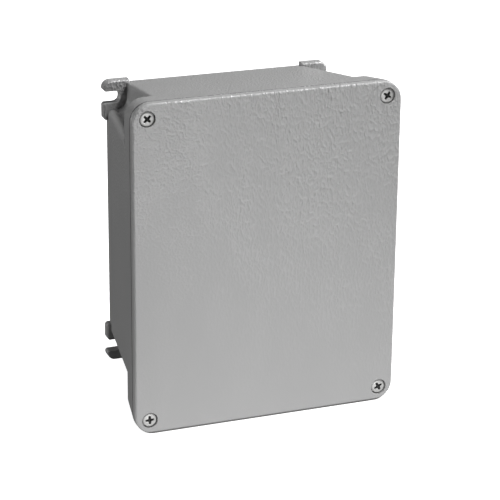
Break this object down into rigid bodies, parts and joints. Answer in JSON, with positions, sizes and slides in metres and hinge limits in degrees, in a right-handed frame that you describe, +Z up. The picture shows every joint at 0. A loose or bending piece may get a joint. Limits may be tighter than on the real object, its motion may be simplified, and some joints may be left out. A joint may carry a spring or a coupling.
{
  "type": "die cast aluminium wall box",
  "caption": "Rectangular die cast wall enclosure with drafted walls, a gasketed lid on captive corner screws and slotted fixing lugs at its back.",
  "frame": {"origin": "middle of the wall face, the plane that the back and the four lugs lie in", "axes": "+X to the viewer's right, +Y into the wall, +Z up; the lid faces -Y"},
  "size_m": [0.104, 0.06, 0.128],
  "materials": {
    "hammered_casting": "grey hammered paint over the cast metal",
    "gasket_rubber": "matte",
    "lid_screw_steel": "zinc plated",
    "earth_brass": "bright"
  },
  "bodies": {
    "base": {"base_casting": "hammered_casting", "base_earth_screw": "earth_brass", "base_earth_spring_washer": "lid_screw_steel", "base_earth_cup_washer": "earth_brass"},
    "lid": {"lid_casting": "hammered_casting", "lid_gasket": "gasket_rubber", "lid_earth_screw": "earth_brass", "lid_earth_spring_washer": "lid_screw_steel", "lid_earth_cup_washer": "earth_brass"},
    "screw_top_left": {"lid_screw_top_left": "lid_screw_steel"},
    "screw_top_right": {"lid_screw_top_right": "lid_screw_steel"},
    "screw_bottom_left": {"lid_screw_bottom_left": "lid_screw_steel"},
    "screw_bottom_right": {"lid_screw_bottom_right": "lid_screw_steel"}
  },
  "joints": [
    {"name": "lid_lift", "type": "slide", "parent": "base", "child": "lid", "axis": [0, -1, 0], "range_m": [0, 0.075]},
    {"name": "screw_top_left_out", "type": "slide", "parent": "lid", "child": "screw_top_left", "axis": [0, -1, 0], "range_m": [0, 0.006]},
    {"name": "screw_top_right_out", "type": "slide", "parent": "lid", "child": "screw_top_right", "axis": [0, -1, 0], "range_m": [0, 0.006]},
    {"name": "screw_bottom_left_out", "type": "slide", "parent": "lid", "child": "screw_bottom_left", "axis": [0, -1, 0], "range_m": [0, 0.006]},
    {"name": "screw_bottom_right_out", "type": "slide", "parent": "lid", "child": "screw_bottom_right", "axis": [0, -1, 0], "range_m": [0, 0.006]}
  ]
}
